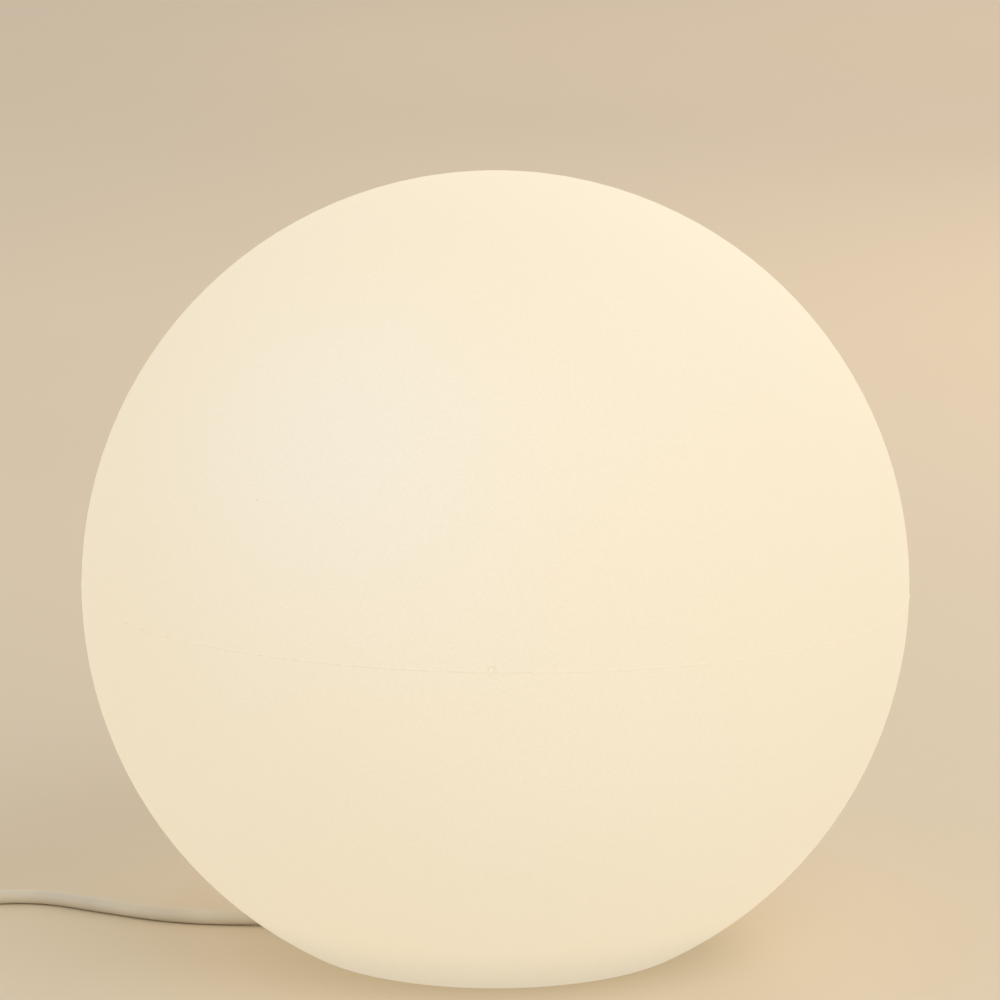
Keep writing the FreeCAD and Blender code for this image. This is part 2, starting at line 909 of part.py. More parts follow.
def wire(side):
    """One inner wire from the end of the sheath up through the post to its terminal."""
    offset = side * wire_spacing / 2
    out = side * terminal_offset
    points = [
        Vec(sheath_end_x, offset, cord_axis_height),
        Vec(0, offset, cord_axis_height),
        Vec(0, offset, holder_floor_top + nipple_nut_height + wire_clear),
        Vec(out, 0, block_bottom - wire_rise),
        Vec(out, 0, block_bottom + wire_entry),
    ]
    return swept(runs_and_arcs(points, "wire"), wire_diameter / 2, "wire")


def rounded_section(width, height, corner, x):
    """Rounded rectangle across X, centred on the axis."""
    a = width / 2
    b = height / 2
    low_a = a - corner
    low_b = b - corner
    bend = corner * math.sqrt(0.5)
    edges = []
    for sy, sz in ((1, 1), (-1, 1), (-1, -1), (1, -1)):
        side = Vec(x, sy * a, sz * low_b)
        top = Vec(x, sy * low_a, sz * b)
        middle = Vec(x, sy * (low_a + bend), sz * (low_b + bend))
        ends = (side, top) if sy == sz else (top, side)
        edges.append((Part.Arc(ends[0], middle, ends[1]).toShape(), ends))
    shapes = []
    for (bow, ends), (_, after) in zip(edges, edges[1:] + edges[:1]):
        shapes += [bow, line(ends[1], after[0])]
    return Part.Wire(shapes)


def plug_body():
    """Moulded body along +X from the cord's end at the origin."""
    rear = plug_boot_length
    shoulder = rear + plug_body_depth
    face = shoulder + plug_face_depth
    sleeve = Part.makeCone(boot_small_radius, plug_boot_radius, rear, Vec(0, 0, 0), Vec(1, 0, 0))
    grip = Part.makeLoft(
        [
            rounded_section(plug_grip_width, plug_grip_height, plug_grip_corner, rear),
            rounded_section(plug_width, plug_height, plug_corner, shoulder),
        ],
        True,
        True,
    )
    front = rounded_section(plug_width, plug_height, plug_corner, shoulder)
    plate = Part.Face(front).extrude(Vec(face - shoulder, 0, 0))
    body = sleeve.fuse(grip).fuse(plate)
    for side in (-1, 1):
        low_y, high_y = sorted((side * plug_width / 2, side * (plug_width / 2 - plug_notch_depth)))
        half = plug_notch_width / 2
        body = body.cut(box(Vec(shoulder, low_y, -half), Vec(face, high_y, half)))
    for pin in pin_places():
        root = pin + Vec(face - pin_root, 0, 0)
        body = body.cut(Part.makeCylinder(pin_radius, pin_root, root, Vec(1, 0, 0)))
    return one(body)


def pin_places():
    return [Vec(0, side * pin_spacing / 2, 0) for side in (-1, 1)]


def plug_pins():
    face = plug_boot_length + plug_body_depth + plug_face_depth
    pins = []
    for place in pin_places():
        start = place + Vec(face - pin_root, 0, 0)
        pin = Part.makeCylinder(pin_radius, pin_root + pin_length, start, Vec(1, 0, 0))
        tip = pin.Edges[0] if pin.Edges[0].BoundBox.XMin > face else pin.Edges[2]
        pins.append(pin.makeFillet(pin_radius / 2, [tip]))
    return pins


def placed_plug(shape, end):
    """Turned to point along +Y from the cord's end."""
    shape.rotate(Vec(0, 0, 0), UP, 90)
    shape.translate(end)
    return shape


def copies(shape, places):
    solids = []
    for place in places:
        copy = shape.copy()
        copy.translate(place)
        solids.append(copy)
    return Part.makeCompound(solids)


def write(name, shape):
    if not shape.isValid():
        raise ValueError(name + " isn't a valid shape")
    shape.exportStep("parts/" + name + ".step")


def main():
    os.makedirs("parts", exist_ok=True)
    lead, turns, tail, cord_end = mains_cord()
    nodes = {
        "globe_shell": globe_shell(),
        "threaded_inserts": copies(insert(), lid_screw_places()),
        "base_lid": base_lid(),
        "base_gasket": base_gasket(),
        "lid_screws": copies(lid_screw(), lid_screw_places()),
        "turret_seal": turret_seal(),
        "bottom_cover": bottom_cover(),
        "cover_screws": copies(cover_screw(), cover_screw_places()),
        "rubber_feet": copies(rubber_foot(), ring_places(foot_count, foot_circle, foot_first_angle)),
        "holder_post": holder_post(),
        "post_screws": copies(post_screw(), post_screw_places()),
        "wire_grommet": wire_grommet(),
        "threaded_nipple": threaded_nipple(),
        "nipple_nuts": Part.makeCompound(nipple_nuts()),
        "holder_cap": holder_cap(),
        "holder_skirt": holder_skirt(),
        "holder_block": holder_block(),
        "terminals": Part.makeCompound(terminals()),
        "terminal_screws": Part.makeCompound(terminal_screws()),
        "centre_contact": centre_contact(),
        "screw_shell": screw_shell(),
        "bulb_tip_contact": bulb_tip(),
        "bulb_insulator": bulb_insulator(),
        "bulb_cap": bulb_cap(),
        "bulb_housing": bulb_housing(),
        "bulb_diffuser": bulb_diffuser(),
        "led_board": led_board(),
        "led_chips": Part.makeCompound(led_chips()),
        "driver_board": driver_board(),
        "driver_parts": Part.makeCompound(driver_parts()),
        "cord_boot": cord_boot(),
        "cord_saddle": cord_saddle(),
        "saddle_screws": copies(saddle_screw(), saddle_screw_places()),
        "cord_inner": cord_inner(),
        "live_wire": wire(1),
        "neutral_wire": wire(-1),
        "cord_lead": lead,
        "cord_coil": turns,
        "cord_tail": tail,
        "plug_body": placed_plug(plug_body(), cord_end),
        "plug_pins": placed_plug(Part.makeCompound(plug_pins()), cord_end),
    }
    for name, shape in nodes.items():
        write(name, shape)
        print("%-18s solids %d volume %.0f" % (name, len(shape.Solids), shape.Volume))


main()
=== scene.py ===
import math

import bmesh
import bpy
from mathutils import Matrix, Vector


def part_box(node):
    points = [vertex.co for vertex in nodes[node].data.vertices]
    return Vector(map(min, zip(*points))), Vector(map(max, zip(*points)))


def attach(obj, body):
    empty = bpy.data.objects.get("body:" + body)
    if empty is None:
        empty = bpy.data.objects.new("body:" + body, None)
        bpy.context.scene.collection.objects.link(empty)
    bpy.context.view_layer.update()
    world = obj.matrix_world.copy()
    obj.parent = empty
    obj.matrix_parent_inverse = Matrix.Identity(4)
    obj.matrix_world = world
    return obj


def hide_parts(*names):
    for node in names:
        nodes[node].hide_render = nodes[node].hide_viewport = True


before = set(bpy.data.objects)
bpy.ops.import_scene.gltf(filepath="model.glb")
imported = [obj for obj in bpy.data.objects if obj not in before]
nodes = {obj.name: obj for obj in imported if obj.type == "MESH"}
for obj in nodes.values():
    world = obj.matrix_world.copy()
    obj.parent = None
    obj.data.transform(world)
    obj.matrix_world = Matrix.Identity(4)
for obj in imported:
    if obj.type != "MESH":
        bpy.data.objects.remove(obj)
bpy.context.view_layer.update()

# Camera: it looks at the globe from the front, eleven degrees round towards +X and a little above,
# from twelve globe radii away. Here and below lengths are in metres, unless their name ends in mm.
globe_radius = 0.2
globe_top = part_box("globe_shell")[1][2]
globe_centre = Vector((0, 0, globe_top - globe_radius))
camera_distance = 2.4
camera_round = math.radians(11.0)
camera_above = math.radians(11.42)
aim_above_centre = math.radians(0.968)
aim_right_of_centre = math.radians(0.053)
lens_mm = 178.2
sensor_mm = 36
view_reaches = 100

camera = bpy.data.objects.new("camera", bpy.data.cameras.new("camera"))
bpy.context.scene.collection.objects.link(camera)
bpy.context.scene.camera = camera
level = math.cos(camera_above) * camera_distance
away = Vector((level * math.sin(camera_round), -level * math.cos(camera_round), 0))
camera.location = globe_centre + away + Vector((0, 0, math.sin(camera_above) * camera_distance))
pitch = math.pi / 2 - camera_above + aim_above_centre
camera.rotation_euler = (pitch, 0, camera_round - aim_right_of_centre)
camera.data.lens = lens_mm
camera.data.sensor_width = sensor_mm
camera.data.clip_end = view_reaches

# Mains cord: round two-core outdoor cord in a white PVC sheath, 7 mm thick and 3 m long. It leaves the
# strain relief under the globe, lies in a loose curve on the ground, and its spare length is wound into
# a neat coil of four layers that ends beside its plug.
cord_radius = 0.0035
lie_gap = 0.00005
lie_height = cord_radius + lie_gap
cord_exit = (-0.064, 0, 0.0105)
cord_route = [
    cord_exit,
    (-0.084, 0, 0.0105),
    (-0.114, -0.0006, lie_height),
    (-0.160, -0.0059, lie_height),
    (-0.203, 0.0079, lie_height),
    (-0.240, 0.021, lie_height),
    (-0.276, 0.0058, lie_height),
    (-0.311, -0.006, lie_height),
    (-0.340, -0.006, lie_height),
]
coil_outer_radius = 0.05
coil_turns = 10.25
coil_first_turn = 0.25
coil_layers = 4
coil_pitch = 0.0076
coil_layer_height = 0.0075
coil_climb_turns = 0.5
coil_points_per_turn = 16
tail_steps = [(0, 0.024, 0), (-0.003, 0.031, -0.00777), (-0.001, 0.029, -0.00518), (0, 0.022, 0)]
straight_end = 0.007
curve_order = 3
curve_steps = 5
section_steps = 5


def coil_points():
    """Turns that spiral in and out, and climb a layer in each reversing half turn."""
    per_layer = coil_turns / coil_layers
    # A curve of order 3 along points on a circle runs inside them, at this share of their radius.
    inside_share = (3 + math.cos(2 * math.pi / coil_points_per_turn)) / 4
    centre = Vector(cord_route[-1]) + Vector((-straight_end, coil_outer_radius, 0))
    points = []
    for i in range(int(coil_turns * coil_points_per_turn) + 1):
        turn = i / coil_points_per_turn
        layer = min(int(turn / per_layer), coil_layers - 1)
        inward = coil_pitch * (turn - layer * per_layer)
        drawn_in = inward if layer % 2 == 0 else coil_pitch * per_layer - inward
        climbs = [(turn - end * per_layer) / coil_climb_turns + 0.5 for end in range(1, coil_layers)]
        height = coil_layer_height * sum(min(max(climbed, 0), 1) for climbed in climbs)
        radius = (coil_outer_radius - drawn_in) / inside_share
        angle = -2 * math.pi * (turn + coil_first_turn)
        points.append(centre + Vector((radius * math.cos(angle), radius * math.sin(angle), height)))
    return points


def tail_points(start):
    """The cord's end: straight out of the coil, then down to the ground and on to the plug."""
    points = [start + Vector((0, straight_end, 0))]
    for step in tail_steps:
        points.append(points[-1] + Vector(step))
    return points


def cord_curve(name, points, radius):
    """Round cord on a smooth curve. Its points carry its radius, so the bevel's own depth is 1."""
    curve = bpy.data.curves.new(name, "CURVE")
    curve.dimensions = "3D"
    curve.bevel_depth = 1
    curve.bevel_resolution = section_steps
    curve.resolution_u = curve_steps
    curve.use_fill_caps = True
    spline = curve.splines.new("NURBS")
    spline.points.add(len(points) - 1)
    for point, place in zip(spline.points, points):
        point.co = (*place, 1)
        point.radius = radius
    spline.order_u = curve_order
    spline.use_endpoint_u = True
    piece = bpy.data.objects.new(name, curve)
    bpy.context.scene.collection.objects.link(piece)
    return piece


turns = coil_points()
mains_cord = cord_curve("mains_cord", cord_route + turns + tail_points(turns[-1]), cord_radius)
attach(mains_cord, "base")
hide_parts("cord_lead", "cord_coil", "cord_tail")

# A pattern's scale is the number of its repeats in a metre. Noise keeps mostly between its low and high.
metre_mm = 1000
noise_low = 0.3
noise_high = 0.7


def linear(colour):
    """sRGB hex colour as linear red, green, blue and alpha."""
    parts = [int(colour[i:i + 2], 16) / 255 for i in (1, 3, 5)]
    return tuple(c / 12.92 if c <= 0.04045 else ((c + 0.055) / 1.055) ** 2.4 for c in parts) + (1.0,)


def add_node(material, kind, settings=None, links=None):
    """Node with its sockets or properties set, and links into its sockets.

    A socket that shares its name with another is given by its number. The stops of a colour ramp are
    pairs of a position and a hex colour.
    """
    made = material.node_tree.nodes.new(kind)
    for name, value in (settings or {}).items():
        if name == "stops":
            for stop, (position, colour) in zip(made.color_ramp.elements, value):
                stop.position = position
                stop.color = linear(colour)
        elif isinstance(name, int) or name in made.inputs:
            made.inputs[name].default_value = value
        else:
            setattr(made, name, value)
    for name, source in (links or {}).items():
        material.node_tree.links.new(source, made.inputs[name])
    return made


def new_material(name, settings):
    """Material with its shader's sockets set. Returns it, its shader and Object coordinates."""
    material = bpy.data.materials.new(name)
    material.use_nodes = True
    shader = material.node_tree.nodes["Principled BSDF"]
    for socket, value in settings.items():
        shader.inputs[socket].default_value = value
    coordinates = add_node(material, "ShaderNodeTexCoord")
    return material, shader, coordinates.outputs["Object"]


def join(material, source, shader, socket):
    """Links a pattern into one of the shader's sockets."""
    material.node_tree.links.new(source, shader.inputs[socket])


def soft_pvc(name, light, dark, grain_mm):
    """Soft PVC, extruded or moulded: a satin skin, faintly cloudy, with an uneven sheen from handling.

    The real grain is finer. It is drawn as coarse as it has to be to show.
    """
    cloud_mm = 40
    grain_depth = 0.0001
    handled_roughness = 0.36
    dry_roughness = 0.5
    material, shader, place = new_material(name, {"IOR": 1.53})
    clouds = add_node(
        material, "ShaderNodeTexNoise", {"Scale": metre_mm / cloud_mm, "Detail": 3.0}, {"Vector": place}
    )
    tint = add_node(
        material,
        "ShaderNodeValToRGB",
        {"stops": ((0.35, dark), (0.65, light))},
        {"Fac": clouds.outputs["Fac"]},
    )
    join(material, tint.outputs["Color"], shader, "Base Color")
    grain = add_node(
        material, "ShaderNodeTexNoise", {"Scale": metre_mm / grain_mm, "Detail": 2.0}, {"Vector": place}
    )
    rough = add_node(
        material,
        "ShaderNodeMapRange",
        {
            "From Min": noise_low,
            "From Max": noise_high,
            "To Min": handled_roughness,
            "To Max": dry_roughness,
        },
        {"Value": grain.outputs["Fac"]},
    )
    join(material, rough.outputs["Result"], shader, "Roughness")
    bump = add_node(
        material,
        "ShaderNodeBump",
        {"Strength": 0.25, "Distance": grain_depth},
        {"Height": grain.outputs["Fac"]},
    )
    join(material, bump.outputs["Normal"], shader, "Normal")
    return material


def dress(material, *names):
    """Gives carried-over parts their material."""
    for name in names:
        nodes[name].data.materials.clear()
        nodes[name].data.materials.append(material)


# Extruded white PVC: satin, a little creamy beside the plug.
sheath = soft_pvc("white_pvc_sheath", "#E3DBCA", "#D9D0BE", grain_mm=1.2)
mains_cord.data.materials.append(sheath)
dress(sheath, "cord_inner")

# Strain relief and plug body: one piece each of soft white PVC, moulded straight onto the cord in a
# tapered boot where it leaves the light, and in a slim two-pin body at its far end.
# Moulded PVC: the same satin skin, a shade greyer than the sheath, with the finer grain of the mould.
moulded_pvc = soft_pvc("moulded_white_pvc", "#DCD4C4", "#D3CABA", grain_mm=0.8)
dress(moulded_pvc, "cord_boot", "plug_body")


# Metal shells and plug pins: brass, rolled to a thread for the bulb's cap and the holder's screw shell
# and turned for the two pins, all nickel-plated.
def plated(name, colour, roughness, scratch_mm):
    """Bright plated or turned metal with fine level marks that catch the light unevenly.

    The real marks are finer. They are drawn as coarse as they have to be to show.
    """
    squeeze_in_height = 6.0
    scratch_depth = 0.00005
    polished_share = 0.7
    scratched_share = 1.4
    material, shader, place = new_material(name, {"Base Color": linear(colour), "Metallic": 1.0})
    stretched = add_node(
        material, "ShaderNodeMapping", {"Scale": (1.0, 1.0, squeeze_in_height)}, {"Vector": place}
    )
    scratch = add_node(
        material,
        "ShaderNodeTexNoise",
        {"Scale": metre_mm / scratch_mm, "Detail": 4.0, "Roughness": 0.6},
        {"Vector": stretched.outputs["Vector"]},
    )
    rough = add_node(
        material,
        "ShaderNodeMapRange",
        {
            "From Min": noise_low,
            "From Max": noise_high,
            "To Min": roughness * polished_share,
            "To Max": roughness * scratched_share,
        },
        {"Value": scratch.outputs["Fac"]},
    )
    join(material, rough.outputs["Result"], shader, "Roughness")
    bump = add_node(
        material,
        "ShaderNodeBump",
        {"Strength": 0.2, "Distance": scratch_depth},
        {"Height": scratch.outputs["Fac"]},
    )
    join(material, bump.outputs["Normal"], shader, "Normal")
    return material


# Bright nickel plate: warm white metal that mirrors softly and shows fine marks from screwing.
nickel = plated("nickel_plated_brass", "#CFC8BA", roughness=0.22, scratch_mm=0.8)
dress(nickel, "plug_pins", "bulb_cap", "screw_shell")

# Feet, gaskets and grommet: black EPDM rubber. The gaskets are cut from sheet, the grommet and the four
# feet are moulded, and all are pressed into place.
dust_mm = 4.5
skin_depth = 0.0001
# EPDM: dull near-black, with dust that settles in grey clouds a few millimetres wide.
rubber, rubber_shader, rubber_place = new_material("black_epdm", {"Roughness": 0.75, "IOR": 1.5})
dust = add_node(
    rubber, "ShaderNodeTexNoise", {"Scale": metre_mm / dust_mm, "Detail": 5.0}, {"Vector": rubber_place}
)
dusty = add_node(
    rubber,
    "ShaderNodeValToRGB",
    {"stops": ((0.4, "#1B1B1A"), (0.75, "#3A3935"))},
    {"Fac": dust.outputs["Fac"]},
)
join(rubber, dusty.outputs["Color"], rubber_shader, "Base Color")
rubber_bump = add_node(
    rubber, "ShaderNodeBump", {"Strength": 0.3, "Distance": skin_depth}, {"Height": dust.outputs["Fac"]}
)
join(rubber, rubber_bump.outputs["Normal"], rubber_shader, "Normal")
dress(rubber, "rubber_feet", "turret_seal", "base_gasket", "wire_grommet")


# Base unit: lid with its turret, bottom cover, cord clamp and post, which the screws and the nipple
# hold together inside the globe. All are injection-moulded white ABS.
def moulded(name, light, dark, roughness, grain_mm, grain_depth):
    """Hard skin out of a mould, or a coat: even colour, faint flow clouds and a fine grain.

    The real grain is finer. It is drawn as coarse as it has to be to show.
    """
    flow_mm = 33
    cell_edge = 0.8
    pit_share = 1.15
    land_share = 0.85
    material, shader, place = new_material(name, {"IOR": 1.52})
    flow = add_node(
        material, "ShaderNodeTexNoise", {"Scale": metre_mm / flow_mm, "Detail": 2.0}, {"Vector": place}
    )
    tint = add_node(
        material,
        "ShaderNodeValToRGB",
        {"stops": ((noise_low, dark), (noise_high, light))},
        {"Fac": flow.outputs["Fac"]},
    )
    join(material, tint.outputs["Color"], shader, "Base Color")
    grain = add_node(
        material,
        "ShaderNodeTexVoronoi",
        {"Scale": metre_mm / grain_mm, "feature": "SMOOTH_F1"},
        {"Vector": place},
    )
    rough = add_node(
        material,
        "ShaderNodeMapRange",
        {
            "From Min": 0.0,
            "From Max": cell_edge,
            "To Min": roughness * pit_share,
            "To Max": roughness * land_share,
        },
        {"Value": grain.outputs["Distance"]},
    )
    join(material, rough.outputs["Result"], shader, "Roughness")
    bump = add_node(
        material,
        "ShaderNodeBump",
        {"Strength": 0.3, "Distance": grain_depth},
        {"Height": grain.outputs["Distance"]},
    )
    join(material, bump.outputs["Normal"], shader, "Normal")
    return material


# White ABS from a spark-eroded mould: a cool, even white, matt on the lid and smoother on the post.
lid_abs = moulded(
    "white_abs_textured", "#E4E1D8", "#DAD6CB", roughness=0.5, grain_mm=0.9, grain_depth=0.00008
)
post_abs = moulded(
    "white_abs_smooth", "#E6E3DB", "#DEDAD0", roughness=0.42, grain_mm=0.7, grain_depth=0.00005
)
dress(lid_abs, "base_lid", "bottom_cover", "cord_saddle")
dress(post_abs, "holder_post")

# Screws, nipple and nuts: cold-formed and turned steel, electroplated with zinc. They join the base
# unit's pieces and hold it to the globe.
# Bright zinc: a slightly blue grey metal, cloudier than nickel.
zinc = plated("bright_zinc_steel", "#B9BDBE", roughness=0.3, scratch_mm=0.5)
dress(zinc, "lid_screws", "cover_screws", "post_screws", "saddle_screws", "terminal_screws")
dress(zinc, "threaded_nipple", "nipple_nuts")

# Inserts, terminals and centre contact: turned or stamped from bare brass. The inserts are moulded into
# the globe's bosses, and the others sit in the lamp holder's block.
# Turned brass: yellow metal with fine tool rings.
brass = plated("turned_brass", "#C9A45C", roughness=0.26, scratch_mm=0.4)
dress(brass, "threaded_inserts", "terminals", "centre_contact")

# Lamp holder: an injection-moulded thermoplastic cap and skirt that screw together round a block of
# pressed and glazed steatite.
# Glossy thermoplastic mirrors softly. Glazed steatite is a warmer white with a wet gloss.
holder_white = moulded(
    "glossy_thermoplastic", "#EAE7DF", "#E1DDD3", roughness=0.22, grain_mm=1.4, grain_depth=0.00003
)
steatite = moulded(
    "glazed_steatite", "#ECE8DC", "#DCD6C6", roughness=0.12, grain_mm=2.0, grain_depth=0.00004
)
dress(holder_white, "holder_cap", "holder_skirt")
dress(steatite, "holder_block")

# Inner wires: two copper cores with extruded PVC round them, stripped from the cord and led through the
# grommet and the nipple to the terminals.
# Extruded PVC in the two colours of mains cores: brown and blue, with the cord's satin skin.
dress(soft_pvc("brown_core_pvc", "#5A2F18", "#4A2512", grain_mm=0.8), "live_wire")
dress(soft_pvc("blue_core_pvc", "#1F55A8", "#184690", grain_mm=0.8), "neutral_wire")

# LED bulb: a moulded polycarbonate housing crimped into its cap, with an insulator of black glass and a
# soldered tip below, and a board with nine chips above, under a blown dome of opal polycarbonate.
# White polycarbonate is smooth and bright, black cap glass glossy, and solder a soft grey metal.
housing_white = moulded(
    "white_polycarbonate", "#F0EFEB", "#E8E6E0", roughness=0.35, grain_mm=0.8, grain_depth=0.00003
)
cap_glass = moulded(
    "black_cap_glass", "#16161A", "#0C0C0F", roughness=0.12, grain_mm=1.5, grain_depth=0.00004
)
solder = plated("tin_solder", "#A9ABAA", roughness=0.35, scratch_mm=0.6)
dress(housing_white, "bulb_housing")
dress(cap_glass, "bulb_insulator")
dress(solder, "bulb_tip_contact")
# Boards: printed white mask over aluminium, and green glass laminate. The parts on them are sleeved in
# black film, and the chips are cast over with yellow phosphor resin.
solder_mask = moulded(
    "white_solder_mask", "#EEF0EC", "#E2E5E0", roughness=0.3, grain_mm=0.6, grain_depth=0.00002
)
laminate = moulded(
    "green_glass_laminate", "#2E6B3E", "#235732", roughness=0.35, grain_mm=0.8, grain_depth=0.00002
)
film = moulded(
    "black_shrink_film", "#202126", "#17181C", roughness=0.35, grain_mm=1.0, grain_depth=0.00003
)
phosphor = moulded(
    "yellow_phosphor_resin", "#EBC94E", "#D9B43C", roughness=0.25, grain_mm=0.5, grain_depth=0.00002
)
dress(solder_mask, "led_board")
dress(laminate, "driver_board")
dress(film, "driver_parts")
dress(phosphor, "led_chips")

# Opal polycarbonate: milky and satin. It glows warm and even, because it scatters the chips' light.
dome_glow = 0.35
haze_mm = 17
opal, opal_shader, opal_place = new_material(
    "opal_polycarbonate",
    {"Roughness": 0.38, "IOR": 1.58, "Emission Color": linear("#FFE9C4"), "Emission Strength": dome_glow},
)
haze = add_node(
    opal, "ShaderNodeTexNoise", {"Scale": metre_mm / haze_mm, "Detail": 3.0}, {"Vector": opal_place}
)
milky = add_node(
    opal,
    "ShaderNodeValToRGB",
    {"stops": ((0.0, "#D8D2C2"), (1.0, "#E3DED0"))},
    {"Fac": haze.outputs["Fac"]},
)
join(opal, milky.outputs["Color"], opal_shader, "Base Color")
dress(opal, "bulb_diffuser")

# Globe: one hollow shell of milky polyethylene, 3 mm thick, with its flat foot, recess and screw bosses.
# It is rotomoulded in two half moulds and stands over the base unit, which is screwed into its foot.
globe_glow = 0.537
cloud_mm = 140
# Painted reflection of the studio light: a paler, greyer patch on the globe's front, above and left of
# its middle.
painted_reflection_centre = (-0.037, -0.177, 0.262)
painted_reflection_radius = 0.14
painted_reflection_share = 0.7
grain_mm = 1.0
grain_contrast = 0.05
grain_depth = 0.0001
# Painted shade: the base colour darkens towards the foot, below this height.
painted_shade_height = 0.035
painted_foot_brightness = 0.62
speck_gap_mm = 34
speck_core = 0.008
speck_edge = 0.02
speck_share = 0.6
# The sockets that go by number: those of a node that reckons, and those of one that mixes two colours.
first = 0
second = 1
mix_share = 0
mix_under = 6
mix_over = 7
mixed = 2
# Rotomoulded polyethylene: matt and glowing evenly from the lit bulb, with fine grain, soft clouds and a
# few dark specks. A paler, greyer patch on its upper front left is a painted reflection of the studio
# light, and painted shade darkens the foot, where little light reaches.
polyethylene, shell_shader, shell_place = new_material(
    "rotomoulded_polyethylene",
    {"Roughness": 0.8, "IOR": 1.51, "Emission Color": linear("#FFF5DC"), "Emission Strength": globe_glow},
)
clouds = add_node(
    polyethylene,
    "ShaderNodeTexNoise",
    {"Scale": metre_mm / cloud_mm, "Detail": 2.0},
    {"Vector": shell_place},
)
body_tint = add_node(
    polyethylene,
    "ShaderNodeValToRGB",
    {"stops": ((noise_low, "#B4A68F"), (noise_high, "#B2A896"))},
    {"Fac": clouds.outputs["Fac"]},
)
# Painted reflection: a greyer, paler tint is mixed into the base colour round the patch's centre.
from_painted_reflection = add_node(
    polyethylene,
    "ShaderNodeVectorMath",
    {"operation": "DISTANCE", second: painted_reflection_centre},
    {first: shell_place},
)
painted_reflection = add_node(
    polyethylene,
    "ShaderNodeMapRange",
    {
        "interpolation_type": "SMOOTHSTEP",
        "From Max": painted_reflection_radius,
        "To Min": painted_reflection_share,
        "To Max": 0.0,
    },
    {"Value": from_painted_reflection.outputs["Value"]},
)
tint_with_painted_reflection = add_node(
    polyethylene,
    "ShaderNodeMix",
    {"data_type": "RGBA", mix_over: linear("#AFABA7")},
    {mix_share: painted_reflection.outputs["Result"], mix_under: body_tint.outputs["Color"]},
)
grain = add_node(
    polyethylene,
    "ShaderNodeTexNoise",
    {"Scale": metre_mm / grain_mm, "Detail": 2.0},
    {"Vector": shell_place},
)
grain_shade = add_node(
    polyethylene,
    "ShaderNodeMapRange",
    {
        "From Min": noise_low,
        "From Max": noise_high,
        "To Min": 1.0 - grain_contrast,
        "To Max": 1.0 + grain_contrast,
    },
    {"Value": grain.outputs["Fac"]},
)
height = add_node(polyethylene, "ShaderNodeSeparateXYZ", {}, {"Vector": shell_place})
# Painted shade: the base colour is darkened towards the foot, and the grain is multiplied in with it.
painted_foot_shade = add_node(
    polyethylene,
    "ShaderNodeMapRange",
    {
        "interpolation_type": "SMOOTHSTEP",
        "From Max": painted_shade_height,
        "To Min": painted_foot_brightness,
        "To Max": 1.0,
    },
    {"Value": height.outputs["Z"]},
)
grain_and_painted_shade = add_node(
    polyethylene,
    "ShaderNodeMath",
    {"operation": "MULTIPLY"},
    {first: grain_shade.outputs["Result"], second: painted_foot_shade.outputs["Result"]},
)
grained_tint_with_painted_shade = add_node(
    polyethylene,
    "ShaderNodeVectorMath",
    {"operation": "SCALE"},
    {first: tint_with_painted_reflection.outputs[mixed], "Scale": grain_and_painted_shade.outputs["Value"]},
)
speck_cells = add_node(
    polyethylene, "ShaderNodeTexVoronoi", {"Scale": metre_mm / speck_gap_mm}, {"Vector": shell_place}
)
speck = add_node(
    polyethylene,
    "ShaderNodeMapRange",
    {"From Min": speck_core, "From Max": speck_edge, "To Min": speck_share, "To Max": 0.0},
    {"Value": speck_cells.outputs["Distance"]},
)
specked = add_node(
    polyethylene,
    "ShaderNodeMix",
    {"data_type": "RGBA", mix_over: linear("#5F523F")},
    {mix_share: speck.outputs["Result"], mix_under: grained_tint_with_painted_shade.outputs["Vector"]},
)
join(polyethylene, specked.outputs[mixed], shell_shader, "Base Color")
skin_bump = add_node(
    polyethylene,
    "ShaderNodeBump",
    {"Strength": 0.1, "Distance": grain_depth},
    {"Height": grain.outputs["Fac"]},
)
join(polyethylene, skin_bump.outputs["Normal"], shell_shader, "Normal")
dress(polyethylene, "globe_shell")

# Parting line and vent mark: hair-thin ridges of polyethylene where the two half moulds met, round the
# globe's middle and a touch out of level, and round the mould's vent, which touches that line in front.
# They are trimmed flush by hand.
seam_tilt = math.radians(0.71)
ridge_half_width = 0.00022
ridge_sunk = 0.00005
ridge_radius = globe_radius - ridge_sunk
ridge_segments = 512
vent_radius = 0.0019
vent_ridge_half_width = 0.0003
vent_segments = 48
vent_round = math.radians(-79.4)
vent_above = math.radians(0.3)
section_sides = 8
trim_glow = 0.531
fleck_mm = 3.5
fade_start_x = 0.03
fade_end_x = 0.12
faded_share = 0.7


def piece_from(mesh, name):
    """Turns a finished bmesh into a piece of the scene."""
    data = bpy.data.meshes.new(name)
    mesh.to_mesh(data)
    mesh.free()
    piece = bpy.data.objects.new(name, data)
    bpy.context.scene.collection.objects.link(piece)
    return piece


def ring_of_tube(name, ring_radius, tube_radius, segments, place):
    """Closed ring with a round section, spun from a circle and moved to its place."""
    mesh = bmesh.new()
    made = bmesh.ops.create_circle(mesh, radius=tube_radius, segments=section_sides)
    stand = Matrix.Translation((ring_radius, 0, 0)) @ Matrix.Rotation(math.pi / 2, 4, "X")
    bmesh.ops.transform(mesh, matrix=stand, verts=made["verts"])
    bmesh.ops.spin(
        mesh,
        geom=mesh.verts[:] + mesh.edges[:],
        cent=(0, 0, 0),
        axis=(0, 0, 1),
        angle=2 * math.pi,
        steps=segments,
        use_merge=True,
    )
    bmesh.ops.transform(mesh, matrix=place, verts=mesh.verts)
    bmesh.ops.recalc_face_normals(mesh, faces=mesh.faces)
    for face in mesh.faces:
        face.smooth = True
    return piece_from(mesh, name)
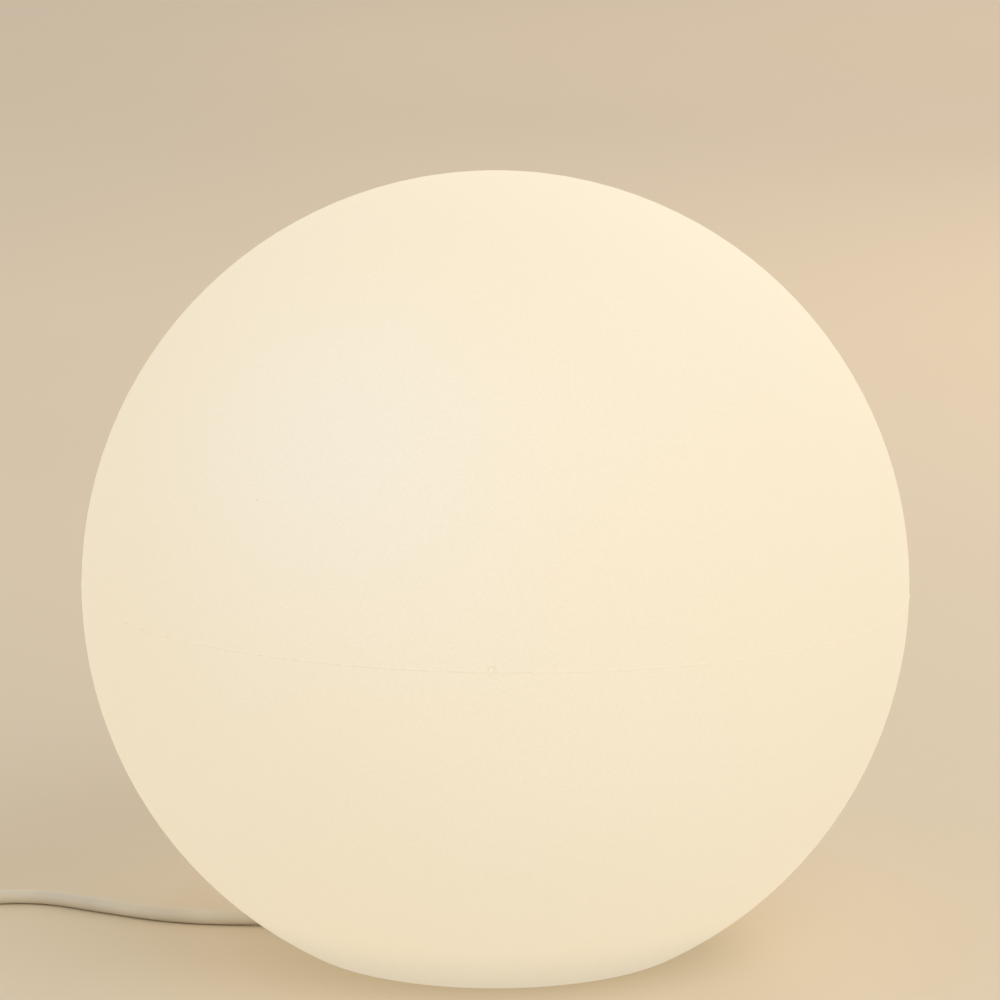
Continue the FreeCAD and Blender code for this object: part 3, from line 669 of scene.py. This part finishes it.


# Trimmed polyethylene: it glows a little less than the wall, and dirt sits in its cut in short flecks,
# which grow fewer towards +X.
trimmed, trimmed_shader, trimmed_place = new_material(
    "trimmed_polyethylene",
    {"Roughness": 0.7, "IOR": 1.51, "Emission Color": linear("#FFF5DC"), "Emission Strength": trim_glow},
)
flecks = add_node(
    trimmed,
    "ShaderNodeTexNoise",
    {"Scale": metre_mm / fleck_mm, "Detail": 3.0},
    {"Vector": trimmed_place},
)
along = add_node(trimmed, "ShaderNodeSeparateXYZ", {}, {"Vector": trimmed_place})
# The dark flecks grow fewer towards +X.
fleck_fade = add_node(
    trimmed,
    "ShaderNodeMapRange",
    {"From Min": fade_start_x, "From Max": fade_end_x, "To Min": 1.0, "To Max": faded_share},
    {"Value": along.outputs["X"]},
)
faded_flecks = add_node(
    trimmed,
    "ShaderNodeMath",
    {"operation": "MULTIPLY"},
    {first: flecks.outputs["Fac"], second: fleck_fade.outputs["Result"]},
)
fleck_tint = add_node(
    trimmed,
    "ShaderNodeValToRGB",
    {"stops": ((0.45, "#B1A48D"), (0.72, "#918269"))},
    {"Fac": faded_flecks.outputs["Value"]},
)
join(trimmed, fleck_tint.outputs["Color"], trimmed_shader, "Base Color")

# The line tilts about the way the camera looks, and the vent's ring lies flat on the wall.
seam_place = (
    Matrix.Translation(globe_centre)
    @ Matrix.Rotation(camera_round, 4, "Z")
    @ Matrix.Rotation(seam_tilt, 4, "Y")
)
vent_place = (
    Matrix.Translation(globe_centre)
    @ Matrix.Rotation(vent_round, 4, "Z")
    @ Matrix.Rotation(-vent_above, 4, "Y")
    @ Matrix.Translation((ridge_radius, 0, 0))
    @ Matrix.Rotation(math.pi / 2, 4, "Y")
)
parting_line = ring_of_tube("parting_line", ridge_radius, ridge_half_width, ridge_segments, seam_place)
vent_mark = ring_of_tube("vent_mark", vent_radius, vent_ridge_half_width, vent_segments, vent_place)
for trim in (parting_line, vent_mark):
    trim.data.materials.append(trimmed)
    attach(trim, "globe")

# Studio: a plain floor of pale warm paper without an edge in view, an even pale sky, one large soft lamp
# from the upper right, a weak one from the left and two that light the floor behind. Their level is the
# one at which colours render about as written.
floor_radius = 30.0
floor_segments = 64
mottle_mm = 830
sky_strength = 0.64
floor_mesh = bmesh.new()
bmesh.ops.create_circle(floor_mesh, cap_ends=True, radius=floor_radius, segments=floor_segments)
studio_floor = piece_from(floor_mesh, "studio_floor")
# Coated background paper: smooth and pale, with a hardly visible mottle as wide as its roll.
paper, paper_shader, paper_place = new_material(
    "background_paper", {"Roughness": 0.6, "IOR": 1.45, "Specular IOR Level": 0.25}
)
mottle = add_node(
    paper, "ShaderNodeTexNoise", {"Scale": metre_mm / mottle_mm, "Detail": 1.0}, {"Vector": paper_place}
)
paper_tint = add_node(
    paper,
    "ShaderNodeValToRGB",
    {"stops": ((0.0, "#E0D2B9"), (1.0, "#E4D7C1"))},
    {"Fac": mottle.outputs["Fac"]},
)
join(paper, paper_tint.outputs["Color"], paper_shader, "Base Color")
studio_floor.data.materials.append(paper)

world = bpy.data.worlds.new("studio")
bpy.context.scene.world = world
world.use_nodes = True
sky = world.node_tree.nodes["Background"]
sky.inputs["Color"].default_value = linear("#FFFCF7")
sky.inputs["Strength"].default_value = sky_strength


def soft_lamp(name, place, size, watts, aim, colour):
    """Square soft lamp that shines from its place at its aim."""
    lamp = bpy.data.lights.new(name, "AREA")
    lamp.color = linear(colour)[:3]
    lamp.size = size
    lamp.energy = watts
    holder = bpy.data.objects.new(name, lamp)
    holder.location = place
    holder.rotation_euler = (Vector(aim) - Vector(place)).to_track_quat("-Z", "Y").to_euler()
    bpy.context.scene.collection.objects.link(holder)


soft_lamp("key_lamp", place=(2.3, -2.2, 2.8), size=3.0, watts=49, aim=globe_centre, colour="#FFFDFA")
soft_lamp("fill_lamp", place=(-2.2, -2.0, 0.9), size=2.0, watts=6, aim=globe_centre, colour="#F6F8FF")
soft_lamp("back_lamp", place=(0.8, 2.2, 1.5), size=1.6, watts=12, aim=(0.25, 1.5, 0), colour="#FFE2C2")
soft_lamp("far_lamp", place=(0.2, 5.2, 2.0), size=2.0, watts=14, aim=(-0.3, 5.0, 0), colour="#FFD8B8")
bpy.context.scene.view_settings.view_transform = "Standard"
